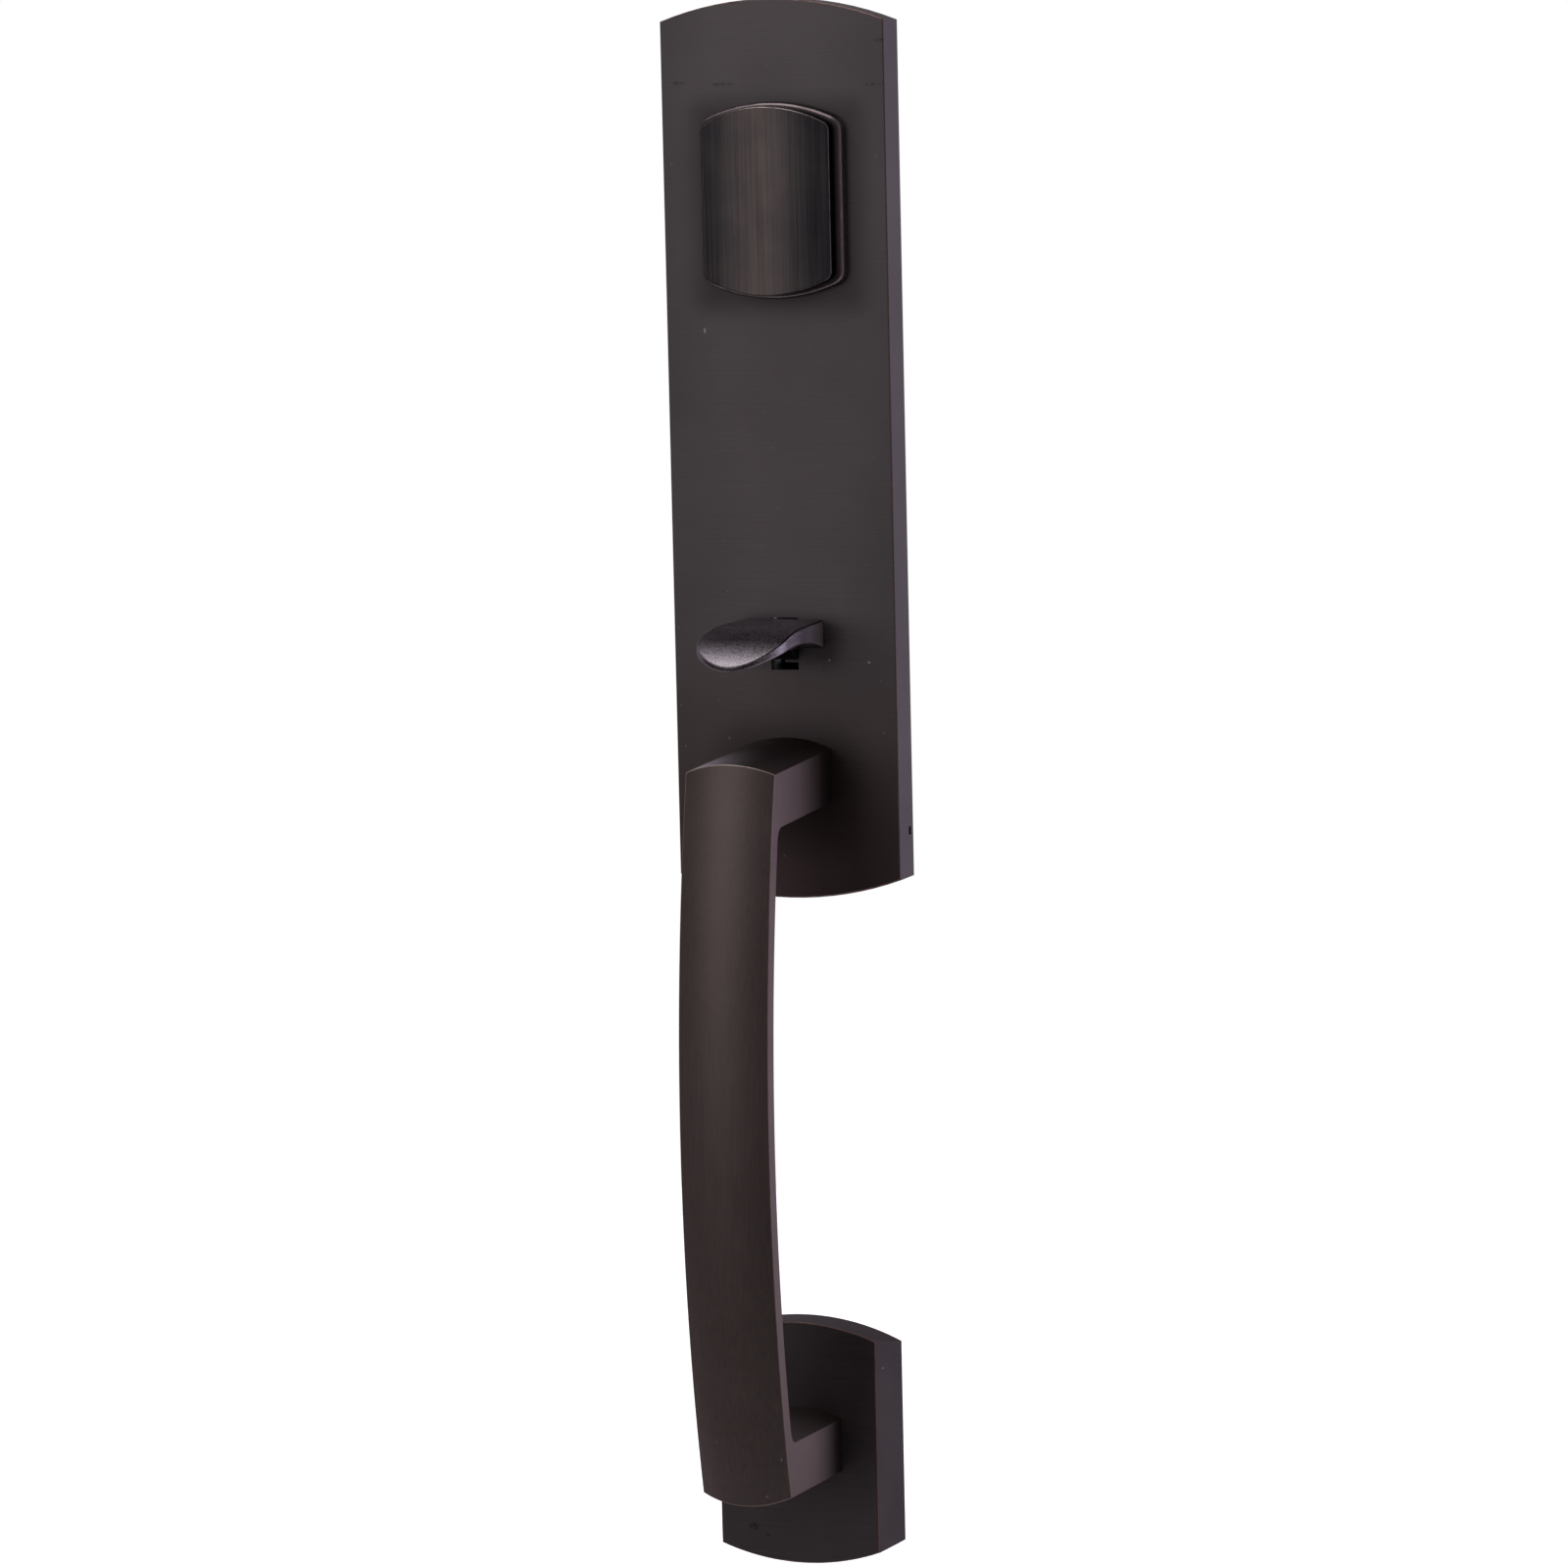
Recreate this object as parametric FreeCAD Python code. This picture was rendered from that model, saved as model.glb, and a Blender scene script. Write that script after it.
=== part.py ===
"""Exterior side of an entry door handleset: plate, lock cylinder with cover, thumb piece, grip, rosette.

Millimetres. X to the right, +Y into the door, Z up. The door's face is the plane y = 0, and the origin is
where the lock cylinder's axis meets it. Fronts face -Y, so what stands out of the door has a negative y.
"""
import FreeCAD
import Part
import math
import os

os.makedirs("parts", exist_ok=True)

# Gaps and allowances that several pieces share
running_gap = 0.05          # radial gap of everything that turns
thread_gap = 0.04           # radial gap drawn between a screw and its thread
screw_hole_gap = 0.3        # radial gap of a plain hole round a screw
screw_tip_gap = 0.3         # room left past a short screw's tip
screw_slot_width = 0.7
clip_play = 0.05            # play of a clip in its groove, each way
overcut = 1.0               # how far a cut runs past the surface it opens
same_place = 0.01           # lengths closer than this count as equal

# Upper plate: a hollow casting, open at the door side
plate_width = 78.0
plate_top = 55.5            # side corners of the top arch, above the cylinder's axis
plate_bottom = -213.5       # side corners of the bottom arch
plate_arch = 7.3            # rise of each arch over its corners
plate_thickness = 8.0
plate_wall = 2.5
plate_draft = 1.8           # how far each side leans in from back to front
plate_edge = 0.5            # rounding of the front edge
plate_rib_width = 2.0
plate_rib_depth = 2.5
plate_rib_heights = (44.0, -45.0, -80.0, -165.0)

# Small slot through the plate's right wall
notch_height = 2.6
notch_depth = 1.2
notch_setback = 1.3         # from the door's face to its nearer side
notch_drop = 199.0

# Raised collar round the lock cylinder
collar_width = 47.6
collar_corner = 24.9        # half the height at its side corners
collar_arch = 5.8
collar_thickness = 4.0
collar_corner_radius = 5.0
collar_edge = 1.6

# Keyway cover: crowned about an upright axis, it hangs from a pivot near its top
cover_width = 42.2
cover_corner = 23.7
cover_arch = 5.8
cover_gap = 0.3             # between the collar and the cover's back
cover_flank = 2.9           # thickness at its sides
cover_crown = 3.0           # how much thicker the middle is
cover_corner_radius = 3.0
cover_edge = 0.45
cover_wall = 2.4
cover_hollow = 1.7          # depth of the hollow in its back
cover_hollow_corner = 2.0
pivot_height = 23.5
pivot_boss_radius = 3.0
pivot_web = 1.8             # collar metal left round the pivot boss
pivot_play = 0.1            # end play of the boss in the web
pivot_pocket_radius = 5.0
pivot_screw_radius = 1.25
pivot_hole_start = 0.6      # blind end of its hole behind the cover's flank face
pivot_head_radius = 2.8
pivot_head_height = 1.3
pivot_washer_radius = 4.4
pivot_washer_thickness = 0.5

# Lock cylinder
head_radius = 16.5
head_thickness = 2.0
head_edge = 0.5
barrel_thread_radius = 14.6
barrel_thread_end = -1.5    # behind here the barrel is plain and a little thinner
barrel_radius = 14.2
barrel_back = 16.0
barrel_gap = 0.2
mount_screw_spacing = 21.6
mount_screw_radius = 2.1
mount_screw_depth = 14.0
plug_radius = 6.35
plug_lip_radius = 7.1
plug_lip = 1.1
plug_back = 21.0
keyway_width = 1.8
keyway_step = 0.6           # sideways step between the keyway's two halves
keyway_top = 2.2
keyway_step_height = -2.0
keyway_overlap = 0.4        # height that both halves share
keyway_end = 11.8
pin_count = 5
pin_pitch = 4.0
first_pin = -6.0
pin_radius = 1.4
pin_hole_radius = 1.5
shear_gap = 0.12            # pin ends stay this far from the plug's surface
key_pin_lengths = (4.6, 5.3, 4.2, 5.8, 4.9)
key_pin_tip = 1.0           # length of its cone
key_pin_tip_radius = 0.5
driver_length = 3.6
spring_wire = 0.46
spring_turns = 3
cap_width = 4.6
cap_thickness = 1.0
cap_seat = 12.9             # height of the cap's seat over the axis
cap_setback = 2.0           # from the barrel's back end
clip_radius = 8.0
clip_groove_radius = 5.2
clip_thickness = 0.9
clip_setback = 0.15
clip_mouth = 8.0
tail_width = 5.0
tail_thickness = 1.6
tail_start = 13.0
tail_end = 62.0
tail_gap = 0.1
tail_pin_radius = 0.9
tail_pin_place = 18.9
tail_pin_setback = 0.3      # its ends under the plug's surface
ring_nut_radius = 18.5
ring_nut_thickness = 3.5
ring_nut_notch = 3.0
ring_nut_notch_depth = 2.0
ring_nut_notches = 4

# Thumb piece, its slot and the folded bracket that carries it
latch_drop = 139.7          # thumb slot's centre under the cylinder's axis
slot_width = 9.2
slot_height = 16.6
paddle_width = 26.4         # at its root
paddle_flare = 1.3          # each side leans out this much on the way to the nose
paddle_reach = 50.6         # from the plate's face to the tip
paddle_nose = 14.2          # length of the rounded nose
paddle_gap = 0.35
paddle_edge = 0.75
paddle_root_top = 7.9       # over the slot's centre
paddle_root_bottom = -1.2
paddle_overrun = 1.5        # its side view runs past the tip, which the top view trims
paddle_tip_drops = (11.3, 13.7)
# Points of its side view: share of the reach, drop under the root's top
paddle_top_line = ((0.42, 0.2), (0.71, 2.1), (0.87, 5.0))
paddle_under_line = ((0.9, 8.8), (0.66, 6.0), (0.42, 5.6), (0.2, 6.7))
paddle_trim = 20.0          # height of the top view's prism, each way
neck_width = 8.2
neck_top = 6.2
neck_bottom = -4.8
neck_gusset = 11.0          # its underside rises into the paddle over this length
neck_gusset_root = 1.0      # where that rise starts, out from the root
neck_gusset_end = 2.6       # its end inside the paddle, over the slot's centre
web_heel = (-2.0, -2.0)     # corners of the web between neck and eye, from the pivot: (depth, height)
web_rear = (3.0, 0.0)
web_shoulder = (2.0, 6.5)
pivot_drop = 3.3            # thumb pivot under the slot's centre
pivot_depth = 1.0           # thumb pivot behind the door's face
axle_radius = 1.5
eye_radius = 3.6
eye_width = 5.2
lift_width = 6.8
lift_reach = 28.0
lift_rise = 5.5             # finger's end over the thumb pivot
lift_start_drop = 1.0       # finger's underside below the pivot where it starts
lift_thickness = 3.4
lift_setback = 0.6          # from the eye to where the finger starts
lift_overlap = 1.0
lift_nose = 1.5
lift_shank_top = 1.9        # narrow shank between eye and finger, heights over the pivot
lift_shank_root = -3.2
lift_shank_end = -1.2
bracket_boss = 2.0
bracket_boss_margin = 0.7   # boss metal outside the screw's head
bracket_sheet = 1.2
bracket_width = 20.0
bracket_height = 34.0
bracket_slot_margin = 0.9
ear_gap = 5.6               # from the middle to each ear's inner face
ear_reach = 5.4             # how far the ears stand behind the door's face
ear_slot_setback = 1.0      # from the slot's top down to the ears' top
ear_slot_overlap = 2.8      # how far the ears run below the slot's bottom
bridge_window_gap = 0.8     # beside the lifting finger
bridge_window_top = 5.2     # over the thumb pivot
bridge_window_bottom = -3.8
bracket_screw_spacing = 27.6
bracket_screw_radius = 1.25
bracket_head_radius = 2.5
bracket_head_height = 1.6
bracket_screw_depth = 3.4
axle_length = 17.0
axle_groove_radius = 1.0
axle_clip_radius = 3.0
axle_clip_thickness = 0.6
axle_clip_place = 7.1
axle_clip_mouth = 1.8
torsion_wire = 0.6
torsion_turns = 3
torsion_turn_gap = 0.02
torsion_side_gap = 0.1
torsion_radius = 2.55
torsion_leg = 9.0

# Threaded posts beside the latch
post_spacing = 38.0
post_boss_radius = 5.2
post_boss_height = 5.0
post_radius = 4.0
post_reach = 18.0
post_stud_radius = 2.45
post_stud_depth = 5.4
post_thread_radius = 2.1
post_thread_depth = 15.0

# Grip: one casting, a bowed bar with a crowned front and two legs
grip_width = 29.6
grip_crown = 2.9
grip_flank = 5.0            # thickness at its sides
grip_ends = 58.0            # from the door to the side edges at its two ends
grip_bow = 12.5             # how much further out its middle stands
grip_arch = 3.2
grip_top_leg_drop = 181.2
grip_bottom_leg_drop = 396.6
leg_height = 17.0
leg_spread = 2.0            # each leg ends this much further out at the door
leg_fillet = 4.0
grip_edge = 0.4             # rounding round the crowned front
bow_overrun = 4.0           # the bar is swept this far past its ends, then trimmed
leg_screw_radius = 3.0
leg_screw_depth = 16.0
leg_screw_tip = 2.0         # room past the screw's tip
grip_head_radius = 5.4
grip_head_height = 3.2
cross_slot_length = 5.6
cross_slot_width = 1.2
cross_slot_floor = 1.2
grip_washer_radius = 6.4
grip_washer_thickness = 1.1

# Lower rosette
rosette_width = 63.1
rosette_corner = 32.5       # half the height at its side corners
rosette_arch = 6.95
rosette_thickness = 12.0
rosette_wall = 2.8
rosette_draft = 4.8
rosette_edge = 0.5
rosette_post_radius = 4.7
rosette_post_reach = 22.0
rosette_post_thread_radius = 2.5
rosette_post_thread_depth = 18.0
rosette_flange_flats = 14.0
rosette_flange_height = 2.5

# Places that follow from the values above
plate_face = -plate_thickness
plate_floor = -(plate_thickness - plate_wall)
collar_face = plate_face - collar_thickness
cover_back = collar_face - cover_gap
cover_flank_face = cover_back - cover_flank
cover_front = cover_flank_face - cover_crown
web_back = collar_face + pivot_web
head_face = collar_face
head_seat = collar_face + head_thickness
slot_centre = -latch_drop
thumb_pivot_height = slot_centre - pivot_drop
finger_start = pivot_depth + eye_radius + lift_setback
finger_slope = (lift_rise - lift_thickness + lift_start_drop) / (lift_reach - finger_start)
bracket_front = plate_floor + bracket_boss
bracket_back = bracket_front + bracket_sheet
ear_high = slot_centre + slot_height / 2 - ear_slot_setback
ear_low = slot_centre - slot_height / 2 - ear_slot_overlap
rosette_face = -rosette_thickness
rosette_floor = -(rosette_thickness - rosette_wall)
rosette_height = -grip_bottom_leg_drop
top_leg_height = -grip_top_leg_drop
grip_middle = (top_leg_height + rosette_height) / 2
grip_span = grip_bottom_leg_drop - grip_top_leg_drop + leg_height - 2 * leg_spread
bow_radius = (grip_span ** 2 / 4 + grip_bow ** 2) / (2 * grip_bow)
bow_axis_depth = bow_radius - grip_ends - grip_bow
leg_slope = leg_spread / (grip_ends + plate_face)


def vec(x, y, z):
    return FreeCAD.Vector(x, y, z)


def along_y(radius, start, end, x=0.0, z=0.0):
    """A round bar along Y."""
    return Part.makeCylinder(radius, end - start, vec(x, start, z), vec(0, 1, 0))


def along_x(radius, start, end, y, z):
    """A round bar along X."""
    return Part.makeCylinder(radius, end - start, vec(start, y, z), vec(1, 0, 0))


def along_z(radius, start, end, y, x=0.0):
    """A round bar along Z."""
    return Part.makeCylinder(radius, end - start, vec(x, y, start), vec(0, 0, 1))


def block(x, y, z):
    """A box from three (low, high) pairs."""
    return Part.makeBox(x[1] - x[0], y[1] - y[0], z[1] - z[0], vec(x[0], y[0], z[0]))


def ring(outer, inner, start, end, x=0.0, z=0.0):
    """A flat ring about an axis along Y."""
    return along_y(outer, start, end, x, z).cut(along_y(inner, start, end, x, z))


def arched_wire(half, top, bottom, arch, y):
    """Upright outline with straight sides and an arch at each end, in the plane at y."""
    top_arc = Part.Arc(vec(-half, y, top), vec(0, y, top + arch), vec(half, y, top))
    bottom_arc = Part.Arc(vec(half, y, bottom), vec(0, y, bottom - arch), vec(-half, y, bottom))
    right = Part.LineSegment(vec(half, y, top), vec(half, y, bottom))
    left = Part.LineSegment(vec(-half, y, bottom), vec(-half, y, top))
    return Part.Wire([top_arc.toShape(), right.toShape(), bottom_arc.toShape(), left.toShape()])


def arched_prism(half, top, bottom, arch, front, back):
    """The arched outline given a thickness along Y."""
    face = Part.Face(arched_wire(half, top, bottom, arch, front))
    return face.extrude(vec(0, back - front, 0))


def leaning_sides(half, draft, thickness, low, high):
    """Trapezium prism along Z that gives a plate its leaning sides."""
    corners = [vec(-half, 0, low), vec(half, 0, low)]
    corners += [vec(half - draft, -thickness, low), vec(draft - half, -thickness, low)]
    face = Part.Face(Part.makePolygon(corners + corners[:1]))
    return face.extrude(vec(0, 0, high - low))


def edges_where(shape, test):
    """Edges whose ends and middle all pass a test on their point."""
    found = []
    for edge in shape.Edges:
        first, last = edge.ParameterRange
        points = [edge.valueAt(first), edge.valueAt((first + last) / 2), edge.valueAt(last)]
        if all(test(point) for point in points):
            found.append(edge)
    return found


def close(a, b):
    return abs(a - b) < same_place


def hollow_plate(half, top, bottom, arch, thickness, wall, draft, edge):
    """Arched plate with leaning sides, rounded front edge and an open, hollow back."""
    outside = arched_prism(half, top, bottom, arch, -thickness, 0)
    sides = leaning_sides(half, draft, thickness, bottom - arch, top + arch)
    outside = outside.common(sides)
    rim = edges_where(outside, lambda p: close(p.y, -thickness))
    outside = outside.makeFillet(edge, rim)
    depth = thickness - wall
    inside = arched_prism(half - wall, top - wall, bottom + wall, arch, -depth, 0)
    inner_sides = leaning_sides(half - wall, draft, thickness, bottom - arch, top + arch)
    return outside.cut(inside.common(inner_sides))


def make_upper_plate():
    half = plate_width / 2
    plate = hollow_plate(half, plate_top, plate_bottom, plate_arch,
                         plate_thickness, plate_wall, plate_draft, plate_edge)
    reach = half - plate_wall - plate_draft / 2
    for height in plate_rib_heights:
        rib = block((-reach, reach), (plate_floor, plate_floor + plate_rib_depth),
                    (height - plate_rib_width / 2, height + plate_rib_width / 2))
        plate = plate.fuse(rib)
    post_mouth = plate_floor + post_boss_height
    boss_radius = bracket_head_radius + bracket_boss_margin
    for side in (-1, 1):
        x = side * post_spacing / 2
        z = slot_centre + side * bracket_screw_spacing / 2
        plate = plate.fuse(along_y(post_boss_radius, plate_floor, post_mouth, x, slot_centre))
        plate = plate.fuse(along_y(boss_radius, plate_floor, bracket_front, 0, z))
    plate = plate.cut(along_y(barrel_thread_radius + barrel_gap, plate_face, plate_floor))
    plate = plate.cut(block((-slot_width / 2, slot_width / 2), (plate_face, plate_floor),
                            (slot_centre - slot_height / 2, slot_centre + slot_height / 2)))
    plate = plate.cut(along_y(leg_screw_radius + screw_hole_gap, plate_face, plate_floor, 0, top_leg_height))
    for side in (-1, 1):
        x = side * post_spacing / 2
        z = slot_centre + side * bracket_screw_spacing / 2
        stud_end = post_mouth - post_stud_depth
        screw_end = bracket_front - bracket_screw_depth
        plate = plate.cut(along_y(post_stud_radius + thread_gap, stud_end, post_mouth, x, slot_centre))
        plate = plate.cut(along_y(bracket_screw_radius + thread_gap, screw_end, bracket_front, 0, z))
    notch = block((half - plate_wall - plate_draft, half), (-notch_setback - notch_depth, -notch_setback),
                  (-notch_drop - notch_height / 2, -notch_drop + notch_height / 2))
    return plate.cut(notch).removeSplitter()


def rounded_arched_block(width, corner, arch, corner_radius, front, back):
    """Arched block with its four upright-side corners rounded."""
    half = width / 2
    solid = arched_prism(half, corner, -corner, arch, front, back)
    corners = edges_where(solid, lambda p: close(abs(p.x), half) and close(abs(p.z), corner))
    return solid.makeFillet(corner_radius, corners)


def make_cylinder_collar():
    collar = rounded_arched_block(collar_width, collar_corner, collar_arch, collar_corner_radius,
                                  collar_face, plate_face)
    collar = collar.makeFillet(collar_edge, edges_where(collar, lambda p: close(p.y, collar_face)))
    collar = collar.cut(along_y(barrel_thread_radius + barrel_gap, collar_face, plate_face))
    collar = collar.cut(along_y(head_radius + barrel_gap, collar_face, head_seat))
    collar = collar.cut(along_y(pivot_boss_radius + running_gap, collar_face, web_back, 0, pivot_height))
    return collar.cut(along_y(pivot_pocket_radius, web_back, plate_face, 0, pivot_height))


def make_keyway_cover():
    half = cover_width / 2
    cover = rounded_arched_block(cover_width, cover_corner, cover_arch, cover_corner_radius,
                                 cover_front, cover_back)
    crown_radius = (half ** 2 + cover_crown ** 2) / (2 * cover_crown)
    reach = cover_corner + cover_arch + overcut
    cover = cover.common(along_z(crown_radius, -reach, reach, cover_front + crown_radius))
    front_rim = [edge for edge in cover.Edges
                 if edge.BoundBox.YMax < cover_back - cover_flank / 2]
    cover = cover.makeFillet(cover_edge, front_rim)
    hollow = rounded_arched_block(cover_width - 2 * cover_wall, cover_corner - cover_wall, cover_arch,
                                  cover_hollow_corner, cover_back - cover_hollow, cover_back)
    cover = cover.cut(hollow)
    boss_end = web_back + pivot_play
    cover = cover.fuse(along_y(pivot_boss_radius, cover_flank_face, boss_end, 0, pivot_height))
    hole_start = cover_flank_face + pivot_hole_start
    hole = along_y(pivot_screw_radius + thread_gap, hole_start, boss_end, 0, pivot_height)
    return cover.cut(hole).removeSplitter()


def make_cover_spring_washer():
    start = web_back + pivot_play
    return ring(pivot_washer_radius, pivot_screw_radius + thread_gap, start, start + pivot_washer_thickness,
                0, pivot_height)


def slotted_screw(radius, tip, seat, head_radius, head_height, z):
    """A screw along Y on the middle line, its slotted head behind the seat."""
    shank = along_y(radius, tip, seat, 0, z)
    head = along_y(head_radius, seat, seat + head_height, 0, z)
    slot = block((-head_radius, head_radius), (seat + head_height / 2, seat + head_height),
                 (z - screw_slot_width / 2, z + screw_slot_width / 2))
    return shank.fuse(head).cut(slot)


def make_cover_pivot_screw():
    seat = web_back + pivot_play + pivot_washer_thickness
    tip = cover_flank_face + pivot_hole_start + screw_tip_gap
    return slotted_screw(pivot_screw_radius, tip, seat, pivot_head_radius, pivot_head_height, pivot_height)


def pin_places():
    return [first_pin + pin_pitch * index for index in range(pin_count)]


def cap_strip(top):
    """The strip over the pin chambers, from its seat up to a height over the axis."""
    return block((-cap_width / 2, cap_width / 2), (first_pin - pin_pitch / 2, barrel_back - cap_setback),
                 (cap_seat, top))


def make_cylinder_body():
    body = along_y(head_radius, head_face, head_seat)
    rim = edges_where(body, lambda p: close(p.y, head_face))
    body = body.makeFillet(head_edge, rim)
    body = body.fuse(along_y(barrel_thread_radius, head_seat, barrel_thread_end))
    body = body.fuse(along_y(barrel_radius, barrel_thread_end, barrel_back))
    body = body.cut(along_y(plug_radius + running_gap, head_face, barrel_back))
    body = body.cut(along_y(plug_lip_radius + running_gap, head_face, head_face + plug_lip + running_gap))
    body = body.cut(cap_strip(barrel_thread_radius + overcut))
    for y in pin_places():
        body = body.cut(along_z(pin_hole_radius, plug_radius - overcut, cap_seat, y))
    for side in (-1, 1):
        hole = along_y(mount_screw_radius, barrel_back - mount_screw_depth, barrel_back,
                       side * mount_screw_spacing / 2)
        body = body.cut(hole)
    return body.removeSplitter()


def make_cylinder_plug():
    plug = along_y(plug_lip_radius, head_face, head_face + plug_lip)
    plug = plug.fuse(along_y(plug_radius, head_face, plug_back))
    lower = block((-keyway_width / 2 - keyway_step / 2, keyway_width / 2 - keyway_step / 2),
                  (head_face, keyway_end), (-plug_lip_radius, keyway_step_height + keyway_overlap))
    upper = block((-keyway_width / 2 + keyway_step / 2, keyway_width / 2 + keyway_step / 2),
                  (head_face, keyway_end), (keyway_step_height, keyway_top))
    plug = plug.cut(lower.fuse(upper))
    for y in pin_places():
        plug = plug.cut(along_z(pin_hole_radius, 0, plug_radius, y))
    groove_start = barrel_back + clip_setback
    groove_end = groove_start + clip_thickness + 2 * clip_play
    plug = plug.cut(ring(plug_radius + overcut, clip_groove_radius, groove_start, groove_end))
    half_width = tail_width / 2 + tail_gap
    half_thickness = tail_thickness / 2 + tail_gap
    plug = plug.cut(block((-half_width, half_width), (tail_start - tail_gap, plug_back),
                          (-half_thickness, half_thickness)))
    plug = plug.cut(along_z(tail_pin_radius + thread_gap, -plug_radius, plug_radius, tail_pin_place))
    return plug.removeSplitter()


def make_key_pins():
    """Bottom pins at the shear line, as a key would hold them."""
    top = plug_radius - 2 * shear_gap
    pins = []
    for y, length in zip(pin_places(), key_pin_lengths):
        pin = along_z(pin_radius, top - length + key_pin_tip, top, y)
        point = vec(0, y, top - length)
        cone = Part.makeCone(key_pin_tip_radius, pin_radius, key_pin_tip, point, vec(0, 0, 1))
        pins.append(pin.fuse(cone))
    return Part.makeCompound(pins)


def make_driver_pins():
    base = plug_radius + shear_gap
    return Part.makeCompound([along_z(pin_radius, base, base + driver_length, y) for y in pin_places()])


def coil(radius, wire, pitch, turns, first_leg=0.0, last_leg=0.0):
    """A round-wire helix about Z that starts on the X axis, with a straight leg off either end."""
    edges = Part.makeHelix(pitch, pitch * turns, radius).Edges
    first, last = edges[0].ParameterRange[0], edges[-1].ParameterRange[1]
    start, start_way = edges[0].valueAt(first), edges[0].tangentAt(first)
    end, end_way = edges[-1].valueAt(last), edges[-1].tangentAt(last)
    if first_leg:
        edges = [Part.LineSegment(start - start_way * first_leg, start).toShape()] + edges
    if last_leg:
        edges = edges + [Part.LineSegment(end, end + end_way * last_leg).toShape()]
    circle = Part.Circle(start - start_way * first_leg, start_way, wire / 2)
    return Part.Wire(edges).makePipeShell([Part.Wire(circle.toShape())], True, False)


def make_pin_springs():
    base = plug_radius + shear_gap + driver_length
    height = cap_seat - base - 2 * spring_wire
    springs = []
    for y in pin_places():
        spring = coil(pin_radius - spring_wire, spring_wire, height / spring_turns, spring_turns)
        spring.translate(vec(0, y, base + spring_wire))
        springs.append(spring)
    return Part.makeCompound(springs)


def make_pin_chamber_cap():
    return cap_strip(cap_seat + cap_thickness)


def make_plug_retaining_clip():
    start = barrel_back + clip_setback + clip_play
    end = start + clip_thickness
    clip = ring(clip_radius, clip_groove_radius + clip_play, start, end)
    return clip.cut(block((-clip_mouth / 2, clip_mouth / 2), (start, end), (-clip_radius, 0)))


def make_cylinder_tailpiece():
    bar = block((-tail_width / 2, tail_width / 2), (tail_start, tail_end),
                (-tail_thickness / 2, tail_thickness / 2))
    return bar.cut(along_z(tail_pin_radius + thread_gap, -tail_thickness, tail_thickness, tail_pin_place))


def make_tailpiece_pin():
    reach = math.sqrt(plug_radius ** 2 - tail_pin_radius ** 2) - tail_pin_setback
    return along_z(tail_pin_radius, -reach, reach, tail_pin_place)


def make_cylinder_ring_nut():
    back = plate_floor + ring_nut_thickness
    nut = ring(ring_nut_radius, barrel_thread_radius + thread_gap, plate_floor, back)
    step = 360 / ring_nut_notches
    for turn in range(ring_nut_notches):
        notch = block((-ring_nut_notch / 2, ring_nut_notch / 2),
                      (back - ring_nut_thickness / 2, back),
                      (ring_nut_radius - ring_nut_notch_depth, ring_nut_radius + overcut))
        notch.rotate(vec(0, 0, 0), vec(0, 1, 0), step * (turn + 0.5))
        nut = nut.cut(notch)
    return nut


def paddle_profile():
    """Side view of the paddle: level at its root, thinning outwards, its tip curled down."""
    root = plate_face - paddle_gap
    tip = plate_face - paddle_reach
    length = root - tip
    top = slot_centre + paddle_root_top
    bottom = slot_centre + paddle_root_bottom
    past_tip = tip - paddle_overrun
    tip_top, tip_bottom = [vec(0, past_tip, top - drop) for drop in paddle_tip_drops]
    upper_points = [vec(0, root - share * length, top - drop) for share, drop in paddle_top_line]
    lower_points = [vec(0, root - share * length, top - drop) for share, drop in paddle_under_line]
    upper = Part.BSplineCurve()
    upper.interpolate([vec(0, root, top)] + upper_points + [tip_top])
    lower = Part.BSplineCurve()
    lower.interpolate([tip_bottom] + lower_points + [vec(0, root, bottom)])
    end = Part.LineSegment(tip_top, tip_bottom)
    start = Part.LineSegment(vec(0, root, bottom), vec(0, root, top))
    return Part.Face(Part.Wire([upper.toShape(), end.toShape(), lower.toShape(), start.toShape()]))


def paddle_plan():
    """Top view of the paddle: sides that flare a little from the root, and a rounded nose."""
    root_half = paddle_width / 2
    half = root_half + paddle_flare
    root = plate_face - paddle_gap
    shoulder = plate_face - paddle_reach + paddle_nose
    middle = (root + shoulder) / 2
    bulge = half - paddle_flare / 4
    low = slot_centre - paddle_trim
    ellipse = Part.Ellipse(vec(0, shoulder, low), half, paddle_nose)
    nose = Part.ArcOfEllipse(ellipse, math.pi, 2 * math.pi)
    sides = [Part.Arc(vec(half, shoulder, low), vec(bulge, middle, low), vec(root_half, root, low)),
             Part.LineSegment(vec(root_half, root, low), vec(-root_half, root, low)),
             Part.Arc(vec(-root_half, root, low), vec(-bulge, middle, low), vec(-half, shoulder, low))]
    wire = Part.Wire([nose.toShape()] + [side.toShape() for side in sides])
    return Part.Face(wire).extrude(vec(0, 0, 2 * paddle_trim))


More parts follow.
